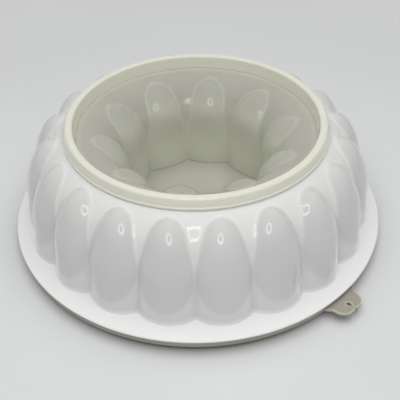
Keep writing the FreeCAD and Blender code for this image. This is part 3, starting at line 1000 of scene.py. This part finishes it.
class MOULD_OT_stage(Operator):
    """Build the floor, the lamps, the surround and the camera"""
    bl_idname = "mould.stage"
    bl_label = "Stage"

    def execute(self, context):
        scene, stage = context.scene, context.scene.mould_stage
        right, above, ahead = camera_axes(stage)
        spot = Vector((
            math.sin(stage.camera_side) * stage.camera_distance,
            -math.cos(stage.camera_side) * stage.camera_distance, stage.camera_height))
        data = bpy.data.cameras.new("photo_camera")
        data.lens, data.sensor_width = stage.lens, 36.0
        data.clip_start, data.clip_end = 0.01, 50.0
        camera = bpy.data.objects.new("photo_camera", data)
        scene.collection.objects.link(camera)
        camera.matrix_world = Matrix.Translation(spot) @ Matrix((right, above, -ahead)).transposed().to_4x4()
        scene.camera = camera
        aim = Vector((0, 0, stage.aim_height))
        self.ring(self.lamp("key_lamp", spot, aim, stage.key_size, stage.key, "DISK"), stage.key_hole)
        top = Vector((stage.top_right, -stage.top_front, stage.top_height))
        for name, share in (("top_lamp", 1 - stage.sheen), ("sheen_lamp", stage.sheen)):
            self.lamp(name, top, aim, stage.top_size, share * stage.top, "SQUARE", name == "sheen_lamp")
        self.floor(scene)
        self.surround(scene)
        scene.view_settings.view_transform = "Standard"
        return {"FINISHED"}

    def surround(self, scene):
        """Light from all sides, of one strength for the camera, one in reflections and one for the rest."""
        stage, world = scene.mould_stage, bpy.data.worlds.new("soft_surround")
        scene.world = world
        world.use_nodes = True
        sky = Shader.on(world.node_tree, world.node_tree.nodes["Background"])
        seen = sky.add("LightPath", output="Is Camera Ray")
        mirrored = sky.add("LightPath", output="Is Glossy Ray")
        sky.finish(
            Color=scene.mould_colours.surround[:],
            Strength=seen * stage.backdrop + mirrored * stage.mirrored + (1 - seen - mirrored) * stage.world)

    def lamp(self, name, spot, aim, size, power, shape, mirrored=True):
        """Area lamp at a spot, turned to an aim, not seen itself, and mirrored or not in glossy surfaces."""
        data = bpy.data.lights.new(name, "AREA")
        data.shape, data.size, data.energy = shape, size, power
        lamp = bpy.data.objects.new(name, data)
        bpy.context.scene.collection.objects.link(lamp)
        lamp.location = spot
        lamp.rotation_euler = (aim - spot).to_track_quat("-Z", "Y").to_euler()
        lamp.visible_camera = False
        lamp.visible_glossy = mirrored
        return data

    def ring(self, data, hole):
        """Darken the middle of a round lamp, where the distance from its centre is less than the hole's.

        What is left is brighter by one over its share of the lamp, so the lamp keeps its power.
        """
        middle, blur = (0.5, 0.5, 0.0), 0.01
        data.use_nodes = True
        shader = Shader.on(data.node_tree, data.node_tree.nodes["Emission"])
        place = shader.add("NewGeometry", output="Parametric")
        away = shader.add("VectorMath", {"operation": "DISTANCE"}, {0: place, 1: middle}, "Value")
        shader.finish(Strength=away.between(hole / 2 - blur, hole / 2) * (1 / (1 - hole ** 2)))

    def floor(self, scene):
        """Flat round floor a little under the set: corners on a circle, fanned round its middle."""
        stage = scene.mould_stage
        corner = np.arange(FLOOR_CORNERS)
        level = np.full(FLOOR_CORNERS, -stage.floor_drop)
        edge = around(stage.floor_radius, level, corner / FLOOR_CORNERS * 2 * math.pi)
        points = np.concatenate([edge, [[0, 0, -stage.floor_drop]]])
        fan = np.stack([np.full(FLOOR_CORNERS, FLOOR_CORNERS), corner, (corner + 1) % FLOOR_CORNERS], -1)
        mesh = bpy.data.meshes.new("floor")
        mesh.from_pydata(points.tolist(), [], fan.tolist())
        mesh.materials.append(floor_finish(scene.mould_colours))
        floor = bpy.data.objects.new("floor", mesh)
        scene.collection.objects.link(floor)


class MOULD_PT_panel(Panel):
    """Sizes, colours and builders of the mould set"""
    bl_label = "Ring Jelly Mould"
    bl_idname = "MOULD_PT_panel"
    bl_space_type = "VIEW_3D"
    bl_region_type = "UI"
    bl_category = "Mould"

    def draw(self, context):
        builders = {group: operator for operator, group in BUILDERS}
        for group in GROUPS:
            column = self.layout.column(align=True)
            if group in builders:
                column.operator("mould." + builders[group])
            settings = getattr(context.scene, group)
            for key in settings.__annotations__:
                column.prop(settings, key)


GROUPS = {
    "mould_body": MouldBodySizes,
    "mould_core": MouldCoreSizes,
    "mould_seal": MouldSealSizes,
    "mould_colours": MouldColours,
    "mould_stage": MouldStage,
}
BUILDERS = [("seal", "mould_seal"), ("body", "mould_body"), ("core", "mould_core"), ("stage", "mould_stage")]
CLASSES = [*GROUPS.values(), MOULD_OT_seal, MOULD_OT_body, MOULD_OT_core, MOULD_OT_stage, MOULD_PT_panel]


def register():
    for cls in CLASSES:
        bpy.utils.register_class(cls)
    for key, group in GROUPS.items():
        setattr(bpy.types.Scene, key, PointerProperty(type=group))


def unregister():
    for key in GROUPS:
        delattr(bpy.types.Scene, key)
    for cls in reversed(CLASSES):
        bpy.utils.unregister_class(cls)


def main():
    """Register the add-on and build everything."""
    register()
    for operator, _ in BUILDERS:
        getattr(bpy.ops.mould, operator)()


if __name__ == "__main__":
    main()
